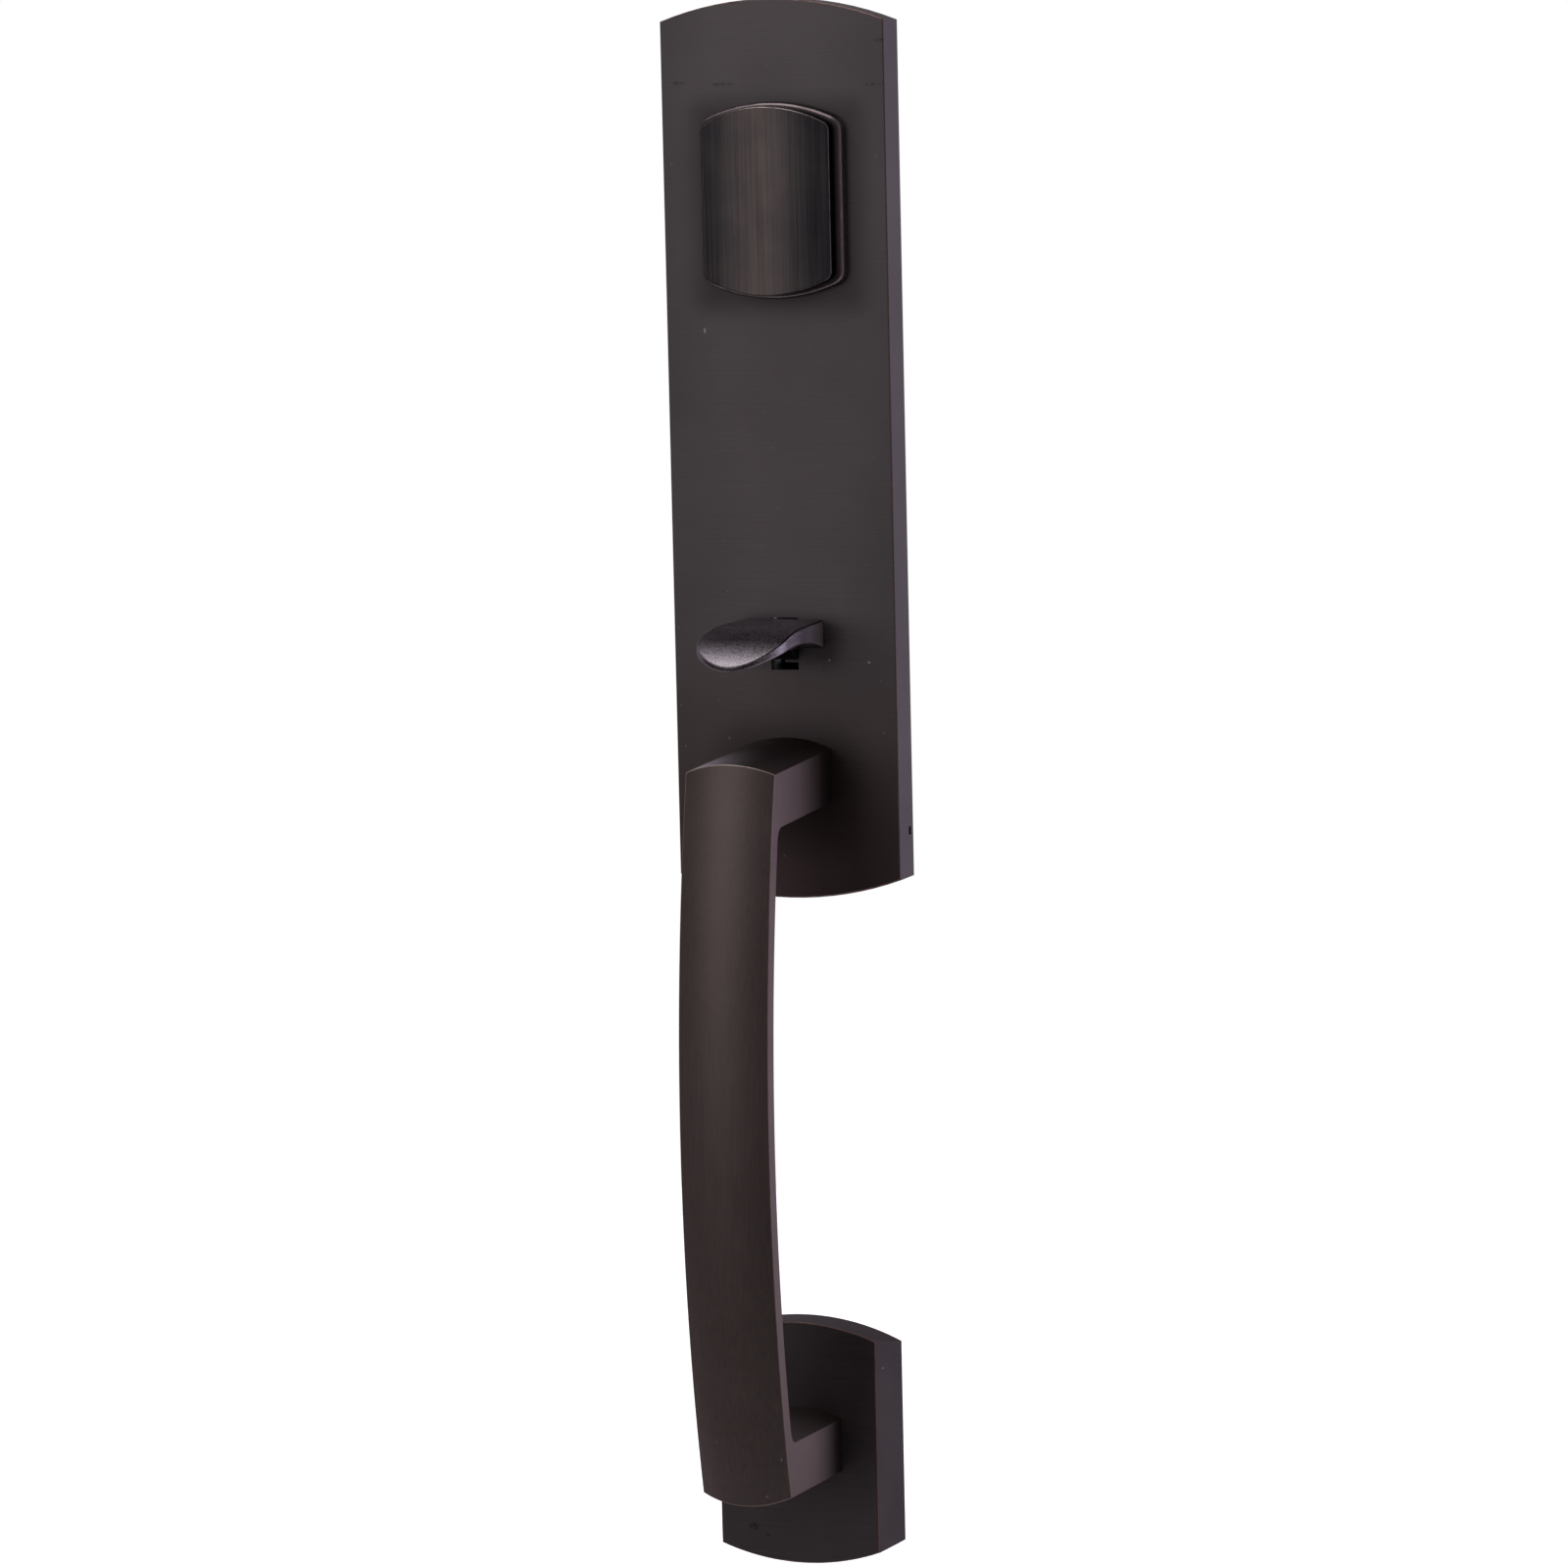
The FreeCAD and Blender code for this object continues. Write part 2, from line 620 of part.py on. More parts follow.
def make_thumb_piece():
    half = paddle_width / 2 + paddle_flare
    slab = paddle_profile().extrude(vec(2 * half, 0, 0))
    slab.translate(vec(-half, 0, 0))
    paddle = slab.common(paddle_plan())
    root = plate_face - paddle_gap
    rims = [edge for edge in paddle.Edges if edge.BoundBox.YLength > paddle_edge]
    paddle = paddle.makeFillet(paddle_edge, rims)
    neck_reach = pivot_depth - eye_radius
    neck = side_view_bar(neck_width, [(root - neck_gusset, pivot_drop + neck_gusset_end),
                                      (root - neck_gusset_root, pivot_drop + neck_bottom),
                                      (neck_reach, pivot_drop + neck_bottom),
                                      (neck_reach, pivot_drop + neck_top),
                                      (root - neck_gusset_root, pivot_drop + neck_top)])
    eye = along_x(eye_radius, -eye_width / 2, eye_width / 2, pivot_depth, thumb_pivot_height)
    web_front = neck_reach - overcut
    corners = [(web_front, pivot_drop + neck_top), (web_front, pivot_drop + neck_bottom)]
    corners += [(pivot_depth + depth, height) for depth, height in (web_heel, web_rear, web_shoulder)]
    web = side_view_bar(eye_width, corners)
    piece = paddle.fuse([neck, eye, web, lift_bar()])
    bore = along_x(axle_radius + running_gap, -eye_width, eye_width, pivot_depth, thumb_pivot_height)
    return piece.cut(bore).removeSplitter()


def side_view_bar(width, corners):
    """A bar of one side view, (y, height over the thumb pivot) pairs, centred on x = 0."""
    points = [vec(-width / 2, y, thumb_pivot_height + height) for y, height in corners]
    return Part.Face(Part.makePolygon(points + points[:1])).extrude(vec(width, 0, 0))


def lift_bar():
    """The finger behind the pivot that lifts the latch's arm."""
    shank_start = pivot_depth + lift_overlap
    shank_end = finger_start + lift_overlap
    shank = side_view_bar(eye_width, [(shank_start, lift_shank_top), (shank_end, lift_shank_top),
                                      (shank_end, lift_shank_end), (shank_start, lift_shank_root)])
    underside = lift_rise - lift_thickness
    nose = (lift_reach + lift_nose, lift_rise - lift_thickness / 2)
    finger = side_view_bar(lift_width, [(finger_start, -lift_start_drop), (lift_reach, underside), nose,
                                        (lift_reach, lift_rise),
                                        (finger_start, lift_thickness - lift_start_drop)])
    return shank.fuse(finger)


def make_thumb_bracket():
    half = bracket_width / 2
    base = block((-half, half), (bracket_front, bracket_back),
                 (slot_centre - bracket_height / 2, slot_centre + bracket_height / 2))
    slot_half = slot_height / 2 + bracket_slot_margin
    bracket = base.cut(block((-ear_gap, ear_gap), (bracket_front, bracket_back),
                             (slot_centre - slot_half, slot_centre + slot_half)))
    for side in (-1, 1):
        inner = side * ear_gap
        outer = side * (ear_gap + bracket_sheet)
        ear = block((min(inner, outer), max(inner, outer)), (bracket_front, ear_reach),
                    (ear_low, ear_high))
        bracket = bracket.fuse(ear)
        z = slot_centre + side * bracket_screw_spacing / 2
        hole_radius = bracket_screw_radius + screw_hole_gap
        bracket = bracket.cut(along_y(hole_radius, bracket_front, bracket_back, 0, z))
    bracket = bracket.fuse(bracket_bridge())
    bore = along_x(axle_radius + thread_gap, -half, half, pivot_depth, thumb_pivot_height)
    return bracket.cut(bore).removeSplitter()


def bracket_bridge():
    """Tab of one ear folded across to the other behind the slot, with a window for the lifting finger."""
    half = ear_gap + bracket_sheet
    window_half = lift_width / 2 + bridge_window_gap
    bridge_back = ear_reach + bracket_sheet
    bridge = block((-half, half), (ear_reach, bridge_back), (ear_low, ear_high))
    window = block((-window_half, window_half), (ear_reach, bridge_back),
                   (thumb_pivot_height + bridge_window_bottom, thumb_pivot_height + bridge_window_top))
    return bridge.cut(window)


def make_bracket_screws():
    screws = []
    tip = bracket_front - bracket_screw_depth + screw_tip_gap
    for side in (-1, 1):
        z = slot_centre + side * bracket_screw_spacing / 2
        screws.append(slotted_screw(bracket_screw_radius, tip, bracket_back,
                                    bracket_head_radius, bracket_head_height, z))
    return Part.makeCompound(screws)


def make_thumb_pivot_pin():
    pin = along_x(axle_radius, -axle_length / 2, axle_length / 2, pivot_depth, thumb_pivot_height)
    groove = axle_clip_thickness + 2 * clip_play
    for side in (-1, 1):
        start = min(side * axle_clip_place, side * (axle_clip_place + groove))
        end = start + groove
        outer = along_x(axle_radius + overcut, start, end, pivot_depth, thumb_pivot_height)
        core = along_x(axle_groove_radius, start, end, pivot_depth, thumb_pivot_height)
        pin = pin.cut(outer.cut(core))
    return pin


def make_thumb_pin_clips():
    clips = []
    for side in (-1, 1):
        edge = side * (axle_clip_place + clip_play)
        start = min(edge, edge + side * axle_clip_thickness)
        end = start + axle_clip_thickness
        outer = along_x(axle_clip_radius, start, end, pivot_depth, thumb_pivot_height)
        core = along_x(axle_groove_radius + clip_play, start, end, pivot_depth, thumb_pivot_height)
        mouth = block((start, end), (pivot_depth - axle_clip_mouth / 2, pivot_depth + axle_clip_mouth / 2),
                      (thumb_pivot_height - axle_clip_radius, thumb_pivot_height))
        clips.append(outer.cut(core).cut(mouth))
    return Part.makeCompound(clips)


def make_thumb_return_spring():
    """Torsion coil beside the eye, one leg on the plate and one along the lifting finger."""
    pitch = torsion_wire + torsion_turn_gap
    spring = coil(torsion_radius, torsion_wire, pitch, torsion_turns,
                  pivot_depth - plate_floor - torsion_wire, torsion_leg)
    spring.rotate(vec(0, 0, 0), vec(0, 1, 0), -90)
    spring.rotate(vec(0, 0, 0), vec(1, 0, 0), math.degrees(math.atan(finger_slope)))
    inner = eye_width / 2 + torsion_wire / 2 + torsion_side_gap
    spring.translate(vec(inner + pitch * torsion_turns, pivot_depth, thumb_pivot_height))
    return spring


def make_plate_posts():
    mouth = plate_floor + post_boss_height
    posts = []
    for side in (-1, 1):
        x = side * post_spacing / 2
        stud_end = mouth - post_stud_depth + screw_tip_gap
        thread_end = post_reach - post_thread_depth
        post = along_y(post_radius, mouth, post_reach, x, slot_centre)
        post = post.fuse(along_y(post_stud_radius, stud_end, mouth, x, slot_centre))
        post = post.cut(along_y(post_thread_radius, thread_end, post_reach, x, slot_centre))
        posts.append(post)
    return Part.makeCompound(posts)


def grip_outline():
    """Loft along Y whose ends keep the arched outline, wider apart at the door than at the front."""
    half = grip_width / 2
    front = -(grip_ends + grip_bow + grip_crown + overcut)
    back = plate_face
    top_back = top_leg_height + leg_height / 2
    bottom_back = rosette_height - leg_height / 2
    fall = leg_slope * (back - front)
    wires = [arched_wire(half, top_back - fall, bottom_back + fall, grip_arch, front),
             arched_wire(half, top_back, bottom_back, grip_arch, back)]
    return Part.makeLoft(wires, True, True)


def grip_bar():
    """The bowed bar: a crowned section turned about a far axis along X."""
    half = grip_width / 2
    front = bow_axis_depth - bow_radius
    back = front + grip_flank
    crown = Part.Arc(vec(-half, front, grip_middle), vec(0, front - grip_crown, grip_middle),
                     vec(half, front, grip_middle))
    sides = [Part.LineSegment(vec(half, front, grip_middle), vec(half, back, grip_middle)),
             Part.LineSegment(vec(half, back, grip_middle), vec(-half, back, grip_middle)),
             Part.LineSegment(vec(-half, back, grip_middle), vec(-half, front, grip_middle))]
    face = Part.Face(Part.Wire([crown.toShape()] + [side.toShape() for side in sides]))
    sweep = 2 * math.degrees(math.asin((grip_span / 2 + grip_arch + bow_overrun) / bow_radius))
    face.rotate(vec(0, bow_axis_depth, grip_middle), vec(1, 0, 0), -sweep / 2)
    return face.revolve(vec(0, bow_axis_depth, grip_middle), vec(1, 0, 0), sweep)


def grip_leg(height, out, back):
    """One leg, its section arched above and below; out is +1 for the top leg and -1 for the bottom."""
    front = -(grip_ends + grip_bow)
    wires = []
    for y in (front, back):
        centre = height - out * leg_slope * (plate_face - y)
        top = centre + leg_height / 2
        wires.append(arched_wire(grip_width / 2, top, top - leg_height, grip_arch, y))
    bow = along_x(bow_radius, -grip_width, grip_width, bow_axis_depth, grip_middle)
    return Part.makeLoft(wires, True, True).common(bow)


def make_grip_handle():
    legs = [grip_leg(top_leg_height, 1, plate_face), grip_leg(rosette_height, -1, rosette_face)]
    grip = grip_bar().fuse(legs)
    grip = grip.common(grip_outline()).removeSplitter()
    inner_back = grip_flank - grip_ends
    throat = [edge for edge in grip.Edges
              if edge.BoundBox.XLength > grip_width - same_place
              and inner_back - grip_bow / 2 < edge.BoundBox.Center.y < inner_back + overcut
              and rosette_height < edge.BoundBox.Center.z < top_leg_height]
    grip = grip.makeFillet(leg_fillet, throat)
    crown_middle = Part.Vertex(vec(0, bow_axis_depth - bow_radius - grip_crown, grip_middle))
    crown = min(grip.Faces, key=lambda face: face.distToShape(crown_middle)[0])
    grip = grip.makeFillet(grip_edge, crown.Edges)
    for height, back in ((top_leg_height, plate_face), (rosette_height, rosette_face)):
        grip = grip.cut(along_y(leg_screw_radius + thread_gap, back - leg_screw_depth, back, 0, height))
    return grip


def make_grip_top_screw():
    seat = plate_floor + grip_washer_thickness
    shank = along_y(leg_screw_radius, plate_face - leg_screw_depth + leg_screw_tip, seat, 0, top_leg_height)
    head = along_y(grip_head_radius, seat, seat + grip_head_height, 0, top_leg_height)
    screw = shank.fuse(head)
    for angle in (0, 90):
        cross = block((-cross_slot_length / 2, cross_slot_length / 2),
                      (seat + cross_slot_floor, seat + grip_head_height),
                      (-cross_slot_width / 2, cross_slot_width / 2))
        cross.rotate(vec(0, 0, 0), vec(0, 1, 0), angle)
        cross.translate(vec(0, 0, top_leg_height))
        screw = screw.cut(cross)
    return screw


def make_grip_top_washer():
    return ring(grip_washer_radius, leg_screw_radius + screw_hole_gap, plate_floor,
                plate_floor + grip_washer_thickness, 0, top_leg_height)


def make_bottom_rosette():
    rosette = hollow_plate(rosette_width / 2, rosette_corner, -rosette_corner, rosette_arch,
                           rosette_thickness, rosette_wall, rosette_draft, rosette_edge)
    rosette = rosette.cut(along_y(leg_screw_radius + screw_hole_gap, rosette_face, rosette_floor))
    rosette.translate(vec(0, 0, rosette_height))
    return rosette


def make_rosette_post():
    corner_radius = rosette_flange_flats / math.sqrt(3)
    angles = [math.radians(60 * corner) for corner in range(7)]
    corners = [vec(corner_radius * math.cos(angle), rosette_floor, corner_radius * math.sin(angle))
               for angle in angles]
    flange = Part.Face(Part.makePolygon(corners)).extrude(vec(0, rosette_flange_height, 0))
    stud = along_y(leg_screw_radius, rosette_face - leg_screw_depth + leg_screw_tip, rosette_floor)
    shank = along_y(rosette_post_radius, rosette_floor + rosette_flange_height, rosette_post_reach)
    post = flange.fuse([stud, shank])
    post = post.cut(along_y(rosette_post_thread_radius, rosette_post_reach - rosette_post_thread_depth,
                            rosette_post_reach))
    post.translate(vec(0, 0, rosette_height))
    return post


pieces = {
    "upper_plate": make_upper_plate,
    "cylinder_collar": make_cylinder_collar,
    "keyway_cover": make_keyway_cover,
    "cover_pivot_screw": make_cover_pivot_screw,
    "cover_spring_washer": make_cover_spring_washer,
    "cylinder_body": make_cylinder_body,
    "cylinder_plug": make_cylinder_plug,
    "key_pins": make_key_pins,
    "driver_pins": make_driver_pins,
    "pin_springs": make_pin_springs,
    "pin_chamber_cap": make_pin_chamber_cap,
    "plug_retaining_clip": make_plug_retaining_clip,
    "cylinder_tailpiece": make_cylinder_tailpiece,
    "tailpiece_pin": make_tailpiece_pin,
    "cylinder_ring_nut": make_cylinder_ring_nut,
    "thumb_piece": make_thumb_piece,
    "thumb_bracket": make_thumb_bracket,
    "bracket_screws": make_bracket_screws,
    "thumb_pivot_pin": make_thumb_pivot_pin,
    "thumb_pin_clips": make_thumb_pin_clips,
    "thumb_return_spring": make_thumb_return_spring,
    "plate_posts": make_plate_posts,
    "grip_handle": make_grip_handle,
    "grip_top_screw": make_grip_top_screw,
    "grip_top_washer": make_grip_top_washer,
    "bottom_rosette": make_bottom_rosette,
    "rosette_post": make_rosette_post,
}

for name, make in pieces.items():
    shape = make()
    solids = shape.Solids
    print(name, "solids", len(solids), "valid", shape.isValid(), "volume", round(shape.Volume, 1))
    shape.exportStep(os.path.join("parts", name + ".step"))
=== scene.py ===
"""Looks of the entry door handleset: finishes, edge wear, light and camera. Metres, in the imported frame."""
import math

import bmesh
import bpy
from mathutils import Matrix, Vector


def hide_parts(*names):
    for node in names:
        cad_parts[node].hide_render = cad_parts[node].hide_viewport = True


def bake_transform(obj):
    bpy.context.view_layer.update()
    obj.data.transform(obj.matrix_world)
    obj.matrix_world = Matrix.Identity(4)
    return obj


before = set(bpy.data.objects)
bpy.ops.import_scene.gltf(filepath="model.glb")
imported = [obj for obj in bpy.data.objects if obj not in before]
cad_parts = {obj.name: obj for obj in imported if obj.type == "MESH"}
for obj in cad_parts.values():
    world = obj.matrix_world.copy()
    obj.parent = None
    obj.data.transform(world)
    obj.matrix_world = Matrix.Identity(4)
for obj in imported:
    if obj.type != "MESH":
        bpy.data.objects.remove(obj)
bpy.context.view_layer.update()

MM = 0.001

# Sockets of a Mix node that blends colours
MIX_FACTOR, MIX_A, MIX_B, MIX_OUT = 0, 6, 7, 2
# The values of a noise that are spread over the whole 0 to 1; it seldom goes beyond them
NOISE_RANGE = (0.3, 0.7)


def linear(hex_colour):
    """An sRGB hex value as the linear colour that a shader takes."""
    channels = [int(hex_colour[i:i + 2], 16) / 255 for i in (1, 3, 5)]
    turned_linear = [c / 12.92 if c <= 0.04045 else ((c + 0.055) / 1.055) ** 2.4 for c in channels]
    return (*turned_linear, 1.0)


def add(tree, kind, inputs=None, **settings):
    """Adds one node, sets its own settings, and fills or links its inputs."""
    node = tree.nodes.new(kind)
    for name, value in settings.items():
        setattr(node, name, value)
    for name, value in (inputs or {}).items():
        if isinstance(value, bpy.types.NodeSocket):
            tree.links.new(value, node.inputs[name])
        else:
            node.inputs[name].default_value = value
    return node


def material(name):
    """An empty material; gives its tree and its one shader, already wired to the output."""
    made = bpy.data.materials.new(name)
    made.use_nodes = True
    tree = made.node_tree
    tree.nodes.clear()
    shader = add(tree, "ShaderNodeBsdfPrincipled")
    add(tree, "ShaderNodeOutputMaterial", {"Surface": shader.outputs["BSDF"]})
    return made, tree, shader


def metal(name):
    made, tree, shader = material(name)
    shader.inputs["Metallic"].default_value = 1.0
    return made, tree, shader


def dress(node, finish):
    """Gives a CAD node its finish in every slot."""
    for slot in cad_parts[node].material_slots:
        slot.material = finish


def ramp(tree, value, low, high):
    """Spreads the values from low to high over the whole 0 to 1."""
    spread = add(tree, "ShaderNodeMapRange", {"Value": value, "From Min": low, "From Max": high})
    return spread.outputs["Result"]


def blend(tree, factor, low, high):
    """One colour turning into another."""
    mix = add(tree, "ShaderNodeMix", {MIX_FACTOR: factor, MIX_A: low, MIX_B: high}, data_type="RGBA")
    return mix.outputs[MIX_OUT]


def tinted(tree, colour, shares):
    """The same colour with only these shares of its red, green and blue light."""
    mix = add(tree, "ShaderNodeMix", {MIX_FACTOR: 1.0, MIX_A: colour, MIX_B: (*shares, 1.0)},
              data_type="RGBA", blend_type="MULTIPLY")
    return mix.outputs[MIX_OUT]


def painted_shade(tree, colour, mask, shares):
    """Painted shade: where the mask is 1, only these shares of the colour's light are left."""
    return blend(tree, mask, colour, tinted(tree, colour, shares))


def even(share):
    """The same share for red, green and blue."""
    return (share, share, share)


def multiply(tree, a, b):
    product = add(tree, "ShaderNodeMath", {0: a, 1: b}, operation="MULTIPLY")
    return product.outputs["Value"]


def plus(tree, a, b):
    total = add(tree, "ShaderNodeMath", {0: a, 1: b}, operation="ADD")
    return total.outputs["Value"]


def larger(tree, a, b):
    pick = add(tree, "ShaderNodeMath", {0: a, 1: b}, operation="MAXIMUM")
    return pick.outputs["Value"]


def size_of(tree, value):
    return add(tree, "ShaderNodeMath", {0: value}, operation="ABSOLUTE").outputs["Value"]


def place(tree, axis):
    """A point's own X, Y or Z on the object, in metres."""
    coords = add(tree, "ShaderNodeTexCoord")
    return add(tree, "ShaderNodeSeparateXYZ", {"Vector": coords.outputs["Object"]}).outputs[axis]


def facing(tree, axis):
    """How far the surface faces along X, Y or Z, from -1 to 1."""
    coords = add(tree, "ShaderNodeTexCoord")
    return add(tree, "ShaderNodeSeparateXYZ", {"Vector": coords.outputs["Normal"]}).outputs[axis]


def along(tree, axis, span_mm):
    """Rises from 0 to 1 between two places along one axis of the object."""
    start, end = span_mm
    return ramp(tree, place(tree, axis), start * MM, end * MM)


def turned(tree, axis, span):
    """Rises from 0 to 1 between two values of facing along one axis."""
    return ramp(tree, facing(tree, axis), *span)


def turned_either_way(tree, axis, span):
    """The same, whether the surface faces along the axis or against it."""
    return ramp(tree, size_of(tree, facing(tree, axis)), *span)


def streaks(tree, long_axis, length_mm, width_mm, noise_range=NOISE_RANGE):
    """Brushing marks from 0 to 1: noise drawn out along one axis of the object."""
    scale = [1 / (width_mm * MM)] * 3
    scale["XYZ".index(long_axis)] = 1 / (length_mm * MM)
    coords = add(tree, "ShaderNodeTexCoord")
    spread = add(tree, "ShaderNodeMapping", {"Vector": coords.outputs["Object"], "Scale": scale})
    noise = add(tree, "ShaderNodeTexNoise", {"Vector": spread.outputs["Vector"], "Scale": 1.0,
                                             "Detail": 3.0, "Roughness": 0.65})
    return ramp(tree, noise.outputs["Fac"], *noise_range)


def clouds(tree, size_mm, noise_range=NOISE_RANGE, detail=3.0):
    """Soft uneven patches of one real size, from 0 to 1."""
    coords = add(tree, "ShaderNodeTexCoord")
    noise = add(tree, "ShaderNodeTexNoise", {"Vector": coords.outputs["Object"],
                                             "Scale": 1 / (size_mm * MM), "Detail": detail})
    return ramp(tree, noise.outputs["Fac"], *noise_range)


# A mark fades in between these shares of its half sizes
MARK_EDGE = (1.0, 0.4)


def spot(tree, middle_mm, half_mm):
    """1 inside a soft-edged ellipsoid at a place of the object."""
    coords = add(tree, "ShaderNodeTexCoord")
    local = add(tree, "ShaderNodeMapping", {"Vector": coords.outputs["Object"],
                                            "Location": [v * MM for v in middle_mm],
                                            "Scale": [v * MM for v in half_mm]}, vector_type="TEXTURE")
    away = add(tree, "ShaderNodeVectorMath", {0: local.outputs["Vector"]}, operation="LENGTH")
    return ramp(tree, away.outputs["Value"], *MARK_EDGE)


# How far a normal may turn from the front (1) to a side (0) and still count as the rounding between them
EDGE_SIDE = (0.44, 0.58)
EDGE_FACE = (0.88, 0.80)
EDGE_PATCHES_MM = 5.0
EDGE_PATCHES_RANGE = (0.25, 0.5)


def worn_edge_and_highlight(tree, colour, bare, share, top_mm=None):
    """The rounding between a front and its sides is rubbed through in places.

    top_mm gives the heights where it fades in, with none below: so gated it is partly a painted highlight.
    """
    edge_mark = multiply(tree, turned_either_way(tree, "Y", EDGE_SIDE), turned_either_way(tree, "Y", EDGE_FACE))
    edge_mark = multiply(tree, edge_mark, clouds(tree, EDGE_PATCHES_MM, EDGE_PATCHES_RANGE))
    edge_mark = multiply(tree, edge_mark, share)
    if top_mm:
        edge_mark = multiply(tree, edge_mark, along(tree, "Z", top_mm))
    return blend(tree, edge_mark, colour, linear(bare))


def lighter_middle_band(tree, colour, grain, half_mm, soft_mm, flank, middle_mm=0.0, ragged_mm=0.0):
    """An upright band keeps the lighter colour; the flanks beside it turn darker.

    The band's border runs in and out with the brushing marks, by ragged_mm.
    """
    off = size_of(tree, plus(tree, place(tree, "X"), -middle_mm * MM))
    off = plus(tree, off, multiply(tree, plus(tree, grain, -0.5), ragged_mm * MM))
    band = add(tree, "ShaderNodeMapRange", {"Value": off, "From Min": (half_mm + soft_mm) * MM,
                                            "From Max": (half_mm - soft_mm) * MM},
               interpolation_type="SMOOTHSTEP")
    return blend(tree, band.outputs["Result"], tinted(tree, colour, flank), colour)


# A speck's soft edge in shares of its radius, and which cells of the pattern hold a speck, fainter or full
SPECK_EDGE = (1.4, 0.6)
SPECK_CHANCE = (0.5, 0.95)


def specks(tree, colour, spacing_mm, speck_mm, tint):
    """Dust and pin holes, scattered thinly over a front face."""
    flat = add(tree, "ShaderNodeCombineXYZ", {"X": place(tree, "X"), "Y": place(tree, "Z")})
    cells = add(tree, "ShaderNodeTexVoronoi", {"Vector": flat.outputs["Vector"],
                                               "Scale": 1 / (spacing_mm * MM)}, voronoi_dimensions="2D")
    radius = speck_mm / 2 / spacing_mm
    dot = ramp(tree, cells.outputs["Distance"], radius * SPECK_EDGE[0], radius * SPECK_EDGE[1])
    chance = add(tree, "ShaderNodeSeparateColor", {"Color": cells.outputs["Color"]})
    dot = multiply(tree, dot, ramp(tree, chance.outputs["Red"], *SPECK_CHANCE))
    return blend(tree, dot, colour, linear(tint))


# Share of its light that is left under the painted shade at the foot of a raised piece
CORNER_SHADE = 0.35


def painted_corner_shade(tree, colour, middle_mm, half_mm, reach_mm, share):
    """Painted shade round the foot of a raised piece, fading out over reach_mm."""
    beyond = []
    for axis, middle, half in zip("XZ", middle_mm, half_mm):
        off = size_of(tree, plus(tree, place(tree, axis), -middle * MM))
        beyond.append(larger(tree, plus(tree, off, -half * MM), 0.0))
    both = add(tree, "ShaderNodeCombineXYZ", {"X": beyond[0], "Y": beyond[1]})
    away = add(tree, "ShaderNodeVectorMath", {0: both.outputs["Vector"]}, operation="LENGTH")
    near = add(tree, "ShaderNodeMapRange", {"Value": away.outputs["Value"], "From Min": reach_mm * MM,
                                            "From Max": 0.0}, interpolation_type="SMOOTHSTEP")
    return painted_shade(tree, colour, multiply(tree, near.outputs["Result"], share), even(CORNER_SHADE))


MARK_GRAIN_MM = 1.2
MARK_GRAIN_RANGE = (0.35, 0.6)


def marks_at(tree, colour, spots_mm, tint, strength):
    """Single smudges and scuffs, each a middle and its half sizes, broken up by fine grain."""
    mask = 0.0
    for middle_mm, half_mm in spots_mm:
        mask = larger(tree, mask, spot(tree, middle_mm, half_mm))
    broken = clouds(tree, MARK_GRAIN_MM, MARK_GRAIN_RANGE)
    return blend(tree, multiply(tree, multiply(tree, mask, broken), strength), colour, linear(tint))


BACK_FACING = (0.2, 0.6)
BLOTCHES_MM = 1.6
BLOTCHES_RANGE = (0.35, 0.65)


def cast_back(tree, colour):
    """The hollow side is left as cast: dull and blotchy, with no brushing."""
    blotches = clouds(tree, BLOTCHES_MM, BLOTCHES_RANGE)
    as_cast = blend(tree, blotches, linear("#383332"), linear("#4b4543"))
    return blend(tree, turned(tree, "Y", BACK_FACING), colour, as_cast)


WALL_FACING = (0.7, 0.9)


def painted_wall_shade(tree, colour, share):
    """Painted shade on the walls at the sides."""
    return painted_shade(tree, colour, turned_either_way(tree, "X", WALL_FACING), even(share))


def roughen(tree, shader, pattern, span):
    """Roughness follows a pattern, between two values."""
    rough = add(tree, "ShaderNodeMapRange", {"Value": pattern, "To Min": span[0], "To Max": span[1]})
    tree.links.new(rough.outputs["Result"], shader.inputs["Roughness"])


def engrave(tree, shader, pattern, strength, depth_mm):
    """A pattern stands out as fine relief."""
    relief = add(tree, "ShaderNodeBump", {"Height": pattern, "Strength": strength, "Distance": depth_mm * MM})
    tree.links.new(relief.outputs["Normal"], shader.inputs["Normal"])


# Waxed oxide loses the white flash that bare metal has at a glancing angle
WAXED_GLANCE = (0.45, 0.45, 0.45, 1.0)
# Grain and patches add up to one tone, whose usual values are spread over the two colours
PATCH_WEIGHT = 0.5
TONE_RANGE = (0.15, 1.3)
GRAIN_DEPTH_MM = 0.1


def oil_rubbed_bronze(name, dark, light, grain_of, patches_mm, rough, touches, bump=0.06):
    """Brass blackened in an oil-rubbed bronze bath and waxed: near black, with the satin sheen of metal.

    grain_of gives the brushing or casting grain, 0 to 1; touches adds marks, worn spots, painted light and
    shade.
    """
    made, tree, shader = metal(name)
    grain = grain_of(tree)
    tone = plus(tree, grain, multiply(tree, clouds(tree, patches_mm), PATCH_WEIGHT))
    colour = blend(tree, ramp(tree, tone, *TONE_RANGE), linear(dark), linear(light))
    tree.links.new(touches(tree, colour, grain), shader.inputs["Base Color"])
    roughen(tree, shader, grain, rough)
    engrave(tree, shader, grain, bump, GRAIN_DEPTH_MM)
    shader.inputs["Specular Tint"].default_value = WAXED_GLANCE
    return made


